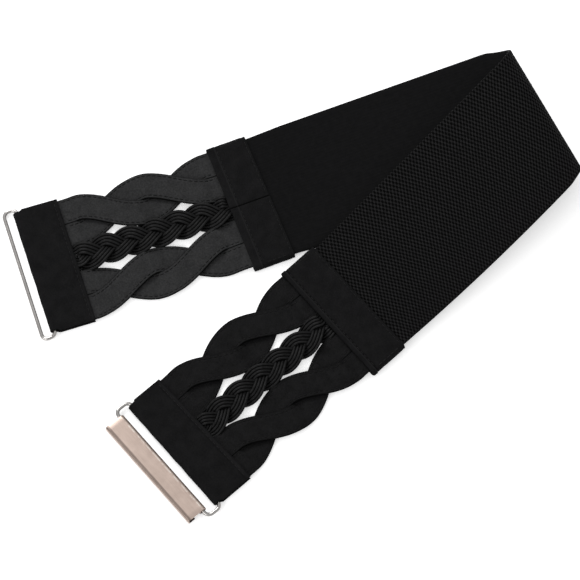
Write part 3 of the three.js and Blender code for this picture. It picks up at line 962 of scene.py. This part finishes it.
def tab(end, material, thread):
    across = edged(-TAB_WIDTH / 2, TAB_WIDTH / 2, 1.0)
    lines = [tab_line(end, value) for value in across]
    x, z, out_x, out_z = (np.stack(values, axis=1) for values in zip(*lines))
    reach = RING_LENGTH / 2 - WIRE / 2 - RING_CORNER + CORNER_REACH
    behind = WIRE / 2 + CLEAR + CORNER_PLAY
    half_width = np.clip(reach + (x - bar_place(end, across) - behind), reach, TAB_WIDTH / 2)
    wide = across * half_width / (TAB_WIDTH / 2)
    run = reach_along(np.stack([x[:, 0], z[:, 0]], axis=1))
    distance_lip = np.minimum(run, run[-1] - run)[:, None]
    distance_side = half_width - np.abs(wide)
    middle = on_tab(end, x, wide, z)
    normal = unit(on_tab(end, x + out_x, wide, z + out_z) - middle)
    half = SUEDE_THICK / 2 * edge_share(distance_lip) * edge_share(distance_side)
    lip = TAB_LIP_HEIGHT * bell(distance_lip, TAB_LIP_PLACE, TAB_LIP_WIDTH)
    groove = -TAB_GROOVE_DEPTH * bell(distance_lip, TAB_STITCH_INSET, TAB_GROOVE_WIDTH)
    inner_groove = -end["tab_groove"] * bell(x, -TAB_INNER_GROOVE_PLACE, TAB_INNER_GROOVE_WIDTH)
    soft = TAB_WAVES * ripple(x + 3 * z, wide, end["tab_seed"], TAB_WAVE_REACH)
    fade = smooth(distance_lip, 0.2, 2) * smooth(distance_side, 0.2, 2)
    raised = flat_below(lip + groove + inner_groove + soft * fade, normal)
    # Painted highlight on the welt between the lip and the stitches, and painted shade in the stitched
    # groove, as strong as the end's welt value says
    welt_painted_light = end["tab_welt_painted_light"] * np.ones_like(x)
    fields = {
        "wear_and_highlight": 0.25 * welt_painted_light * bell(distance_lip, 1.5, 0.45),
        "dark": 0.5 * welt_painted_light * bell(distance_lip, 2.35, 0.4),
    }
    name = f"tab_{end['name']}"
    piece = slab(f"fine_{name}", middle, normal, half, [material], raised=raised, fields=fields)
    finish_piece(piece, "belt", "suede", name)

    rise = (WIRE / 2 - STRAP_THICK / 2) / -bar_place(end)
    outer = STRAP_THICK / 2 + CLEAR + SUEDE_THICK + TAB_STITCH_INSET * rise - TAB_THREAD_SUNK
    crosswise = np.linspace(-TAB_WIDTH / 2 + 1.5, TAB_WIDTH / 2 - 1.5, 130)
    rows = [(on_tab(end, -TAB_STITCH_INSET, crosswise, side * outer), side) for side in (-1, 1)]
    sewing = stitches(f"stitches_{name}", rows, thread)
    finish_piece(sewing, "belt", "suede")


def ring_tilt(end):
    """How far the ring leans, so that its outer bar is as high as it should be"""
    return -math.asin((END_MID - end["bar_height"]) / (end["ring_depth"] - WIRE))


def tilted(end, x, z):
    """Turns a place in the ring's own plane about its inner bar, as the ring leans"""
    tilt = ring_tilt(end)
    return x * math.cos(tilt) + z * math.sin(tilt), -x * math.sin(tilt) + z * math.cos(tilt)


def ring(end, material):
    depth = end["ring_depth"] - WIRE
    half = RING_LENGTH / 2 - WIRE / 2
    corners = (
        (-RING_CORNER, half - RING_CORNER, 0),
        (-depth + RING_CORNER, half - RING_CORNER, 90),
        (-depth + RING_CORNER, -half + RING_CORNER, 180),
        (-RING_CORNER, -half + RING_CORNER, 270),
    )
    around = 2 * math.pi * np.arange(RING_SIDES) / RING_SIDES
    out = RING_CORNER + np.cos(around) * WIRE / 2
    above = np.sin(around) * WIRE / 2
    sections = []
    for x, y, begin in corners:
        for angle in np.radians(np.linspace(begin, begin + 90, 13)):
            leaned, height = tilted(end, x + out * math.cos(angle), above)
            sections.append(on_bar(end, leaned, y + out * math.sin(angle), height))
    name = f"ring_{end['name']}"
    body = "left_ring" if end is LEFT else "right_ring"
    finish_piece(loft(f"fine_{name}", sections, [material], closed=True), body, "nickel", name)


def plate_line():
    """Middle line of the plate's metal: its roll, the flat, the turned edge and the hook's lip"""
    flat = PLATE_DEPTH - ROLL_RADIUS - PLATE_BEND - PLATE_SHEET
    drop = HOOK_SLOT + PLATE_SHEET - 2 * PLATE_BEND
    top = ROLL_RADIUS - PLATE_BEND
    line = arc(0, 0, ROLL_RADIUS, np.linspace(90 - ROLL_WRAP, 90, 40))
    line += arc(-flat, top, PLATE_BEND, np.linspace(90, 180, 12))
    line += arc(-flat, top - drop, PLATE_BEND, np.linspace(180, 270, 12))
    line.append((-flat + HOOK_LIP - PLATE_BEND, ROLL_RADIUS - HOOK_SLOT - PLATE_SHEET, 270.0))
    return profile(line)


def hook_plate(end, material):
    line = plate_line()
    run = reach_along(np.stack(line[:2], axis=1))
    stations = edged(0, run[-1], 0.25, PLATE_ROUNDING)[:, None]
    x, z, out_x, out_z = (np.interp(stations, run, values) for values in line)
    across = edged(-PLATE_WIDTH / 2, PLATE_WIDTH / 2, 3.0, PLATE_ROUNDING)[None, :]
    to_lip = run[-1] - stations
    edges = edge_share(np.minimum(stations, to_lip), PLATE_ROUNDING)
    half = PLATE_SHEET / 2 * edges * edge_share(PLATE_WIDTH / 2 - np.abs(across), PLATE_ROUNDING)
    bar_x, bar_z = tilted(end, -(end["ring_depth"] - WIRE), 0.0)
    middle = on_bar(end, bar_x + x, across, bar_z + z)
    normal = unit(on_bar(end, bar_x + x + out_x, across, bar_z + z + out_z) - middle)

    # The dark field is painted shade round the roll's underside, under the hook's lip and along the
    # turned edge; the other field is a painted highlight along the top of the roll, where it meets the
    # flat
    roll_length = radians(ROLL_WRAP) * ROLL_RADIUS
    facing = np.degrees(np.arctan2(z, x))
    roll_painted_shade = np.where(stations < roll_length, smooth(facing, *ROLL_DARKENS), 0)
    edge_painted_shade = TURNED_EDGE_SHADE * smooth(np.abs(to_lip - TURNED_EDGE_PLACE), *TURNED_EDGE_DARKENS)
    dark = np.maximum(roll_painted_shade + smooth(to_lip, *LIP_DARKENS), edge_painted_shade)
    fields = {
        "dark": np.clip(dark, 0, 1) * np.ones_like(across),
        "wear_and_highlight": bell(stations, roll_length - 0.2, 0.3) * np.ones_like(across),
    }
    piece = slab("fine_hook_plate", middle, normal, half, [material], fields=fields)
    finish_piece(piece, "hook", "satin_metal", "hook_plate")


def on_fold(place_on_axis, angle):
    """A place on the roll of the fold, at an angle from where the elastic lies on the ground"""
    heading = radians(FOLD["heading"])
    forward = FOLD["radius"] * math.sin(angle)
    return np.array([
        FOLD["x"] + forward * math.cos(heading) + place_on_axis * math.sin(heading),
        FOLD["y"] + forward * math.sin(heading) - place_on_axis * math.cos(heading),
        ELASTIC_THICK / 2 + FOLD["radius"] * (1 - math.cos(angle)),
    ])


def elastic_rows():
    """The two edges of the elastic, row by row from the left end to the right one"""
    def edges(end, along, width):
        return [on_end(end, along, -width / 2, 0.0), on_end(end, along, width / 2, 0.0)]

    gripped = np.linspace(END_LENGTH - ELASTIC_INSERT, END_LENGTH + GRIP_LEAVING, 8)
    rows = [edges(LEFT, along, ELASTIC_HELD_WIDTH) for along in gripped]
    start = np.array(edges(LEFT, END_LENGTH + DROP_LENGTH, ELASTIC_WIDTH))
    start[:, 2] = ELASTIC_THICK / 2
    into = np.array([on_fold(FOLD["far_in"], 0), on_fold(FOLD["near_in"], 0)])
    rows += [mix(start, into, share) for share in (0, 1 / 3, 2 / 3)]
    last = 180 + FOLD["dip"]
    for share in np.linspace(0, 1, 40):
        angle = radians(last * share)
        far = mix(FOLD["far_in"], FOLD["far_out"], share)
        near = mix(FOLD["near_in"], FOLD["near_out"], share)
        rows.append([on_fold(far, angle), on_fold(near, angle)])
    top = np.array(rows[-1])
    held = [edges(RIGHT, along, ELASTIC_HELD_WIDTH) for along in gripped[::-1]]
    foot = np.array(held[0])
    for share in np.linspace(0, 1, 12)[1:-1]:
        row = mix(top, foot, share)
        row[1] += unit(row[1] - row[0]) * 4 * FOLD["belly"] * share * (1 - share)
        rows.append(row)
    return np.array(rows + held, dtype=float)


def evenly_spaced(rows, step):
    """Rows at even steps along the middle of a strip, with the corners between them softened"""
    reach = reach_along(rows.mean(axis=1))
    at = np.linspace(0, reach[-1], round(reach[-1] / step) + 1)
    even = look_up(at, reach, rows.reshape(len(rows), -1))
    weights = np.exp(-0.5 * (np.arange(-SOFTENED_ROWS, SOFTENED_ROWS + 1) / SOFTENED_SPREAD) ** 2)
    weights /= weights.sum()
    padded = np.concatenate([
        2 * even[0] - even[SOFTENED_ROWS:0:-1],
        even,
        2 * even[-1] - even[-2:-SOFTENED_ROWS - 2:-1],
    ])
    soft = np.stack([np.convolve(column, weights, mode="valid") for column in padded.T], axis=1)
    return soft.reshape(-1, 2, 3), at


def elastic(front, back):
    rows, stations = evenly_spaced(elastic_rows(), WEAVE_ALONG / 4)
    columns = edged(-ELASTIC_WIDTH / 2, ELASTIC_WIDTH / 2, WEAVE_ACROSS / 5, ELASTIC_ROUNDING)
    share = columns / ELASTIC_WIDTH + 0.5
    far = rows[:, 0]
    near = rows[:, 1]
    middle = far[:, None] + (near - far)[:, None] * share[None, :, None]
    forward = unit(np.gradient(rows.mean(axis=1), axis=0))
    to_front = unit(np.cross(forward, unit(near - far)))
    normal = np.tile(to_front[:, None], (1, len(columns), 1))
    along, across = np.meshgrid(stations, columns, indexing="ij")
    distance = ELASTIC_WIDTH / 2 - np.abs(across)
    half = ELASTIC_THICK / 2 * edge_share(distance, ELASTIC_ROUNDING)
    u = 2 * math.pi * along / WEAVE_ALONG
    v = 2 * math.pi * across / WEAVE_ACROSS
    lattice = (np.cos(u + v) + np.cos(u - v)) / 2
    pits = -PIT_DEPTH * smooth(lattice, -0.3, 1) * smooth(distance, 0.3, 1.6)
    beads = BEAD_HEIGHT * np.cos(2 * u) * bell(distance, BEAD_INSET, BEAD_WIDTH)
    # The plain back needs few columns: all at its rims and every ninth between them
    count = len(columns)
    rim = 5
    back_columns = [*range(rim), *range(8, count - 8, 9), *range(count - rim, count)]
    piece = slab("fine_elastic_band", middle, normal, half, [front, back], raised=pits + beads,
                 keep=back_columns, fields={"along": along, "across": across})
    finish_piece(piece, "belt", "elastic", "elastic_band")


# Surroundings

def aim(thing, target):
    thing.rotation_mode = "QUATERNION"
    thing.rotation_quaternion = (Vector(target) - thing.location).to_track_quat("-Z", "Y")


def camera():
    data = bpy.data.cameras.new("camera")
    data.sensor_width = SENSOR
    data.lens = SENSOR * CAMERA_DISTANCE / (PICTURE_SIZE / PIXELS_PER_MM * MM)
    data.clip_end = 20
    thing = bpy.data.objects.new("camera", data)
    bpy.context.scene.collection.objects.link(thing)
    target = Vector(SHIFT)
    raised = radians(CAMERA_ELEVATION)
    thing.location = target + Vector((0, -math.cos(raised), math.sin(raised))) * CAMERA_DISTANCE
    aim(thing, target)
    bpy.context.scene.camera = thing


def area_light(name, location, size, power):
    data = bpy.data.lights.new(name, "AREA")
    data.shape = "RECTANGLE"
    data.size, data.size_y = size
    data.energy = power
    thing = bpy.data.objects.new(name, data)
    bpy.context.scene.collection.objects.link(thing)
    thing.location = location
    aim(thing, (0, 0, 0))


def surroundings():
    scene = bpy.context.scene
    scene.view_settings.view_transform = "Standard"
    world = bpy.data.worlds.new("studio")
    world.use_nodes = True
    tree = world.node_tree
    direction = tree.nodes.new("ShaderNodeTexCoord").outputs["Generated"]
    height = tree.nodes.new("ShaderNodeSeparateXYZ")
    tree.links.new(direction, height.inputs[0])
    background = tree.nodes["Background"]
    background.inputs["Color"].default_value = (1, 1, 1, 1)
    strength = stretch(tree, height.outputs["Z"], 0.05, 0.7, DIM_WALL, BRIGHT_CEILING)
    tree.links.new(strength, background.inputs["Strength"])
    scene.world = world
    area_light("key", (-0.6, 1.0, 1.0), (0.8, 0.6), 13)
    area_light("fill", (-0.9, -0.8, 0.8), (0.9, 0.6), 6)
    mesh = bpy.data.meshes.new("floor")
    corners = [(FLOOR_REACH * x, FLOOR_REACH * y, 0) for x, y in ((-1, -1), (1, -1), (1, 1), (-1, 1))]
    mesh.from_pydata(corners, [], [(0, 1, 2, 3)])
    mesh.materials.append(floor_material())
    floor = bpy.data.objects.new("floor", mesh)
    scene.collection.objects.link(floor)


camera()
surroundings()
cloth = suede()
strap_sides = (strap_face(), strap_back())
cloth_thread = thread_material("cloth_thread", (0.0065, 0.0065, 0.0067), (0.015, 0.0148, 0.0153))
strap_thread = thread_material("strap_thread", (0.0012, 0.0012, 0.0012), (0.0045, 0.0045, 0.0045))
wire = nickel()
cords = cord_material()
elastic(elastic_front(), elastic_back())
for belt_end in ENDS:
    straps(belt_end, strap_sides, strap_thread)
    braid(belt_end, cords)
    sleeve(belt_end, cloth, cloth_thread)
    tab(belt_end, cloth, cloth_thread)
    ring(belt_end, wire)
hook_plate(RIGHT, satin_metal())
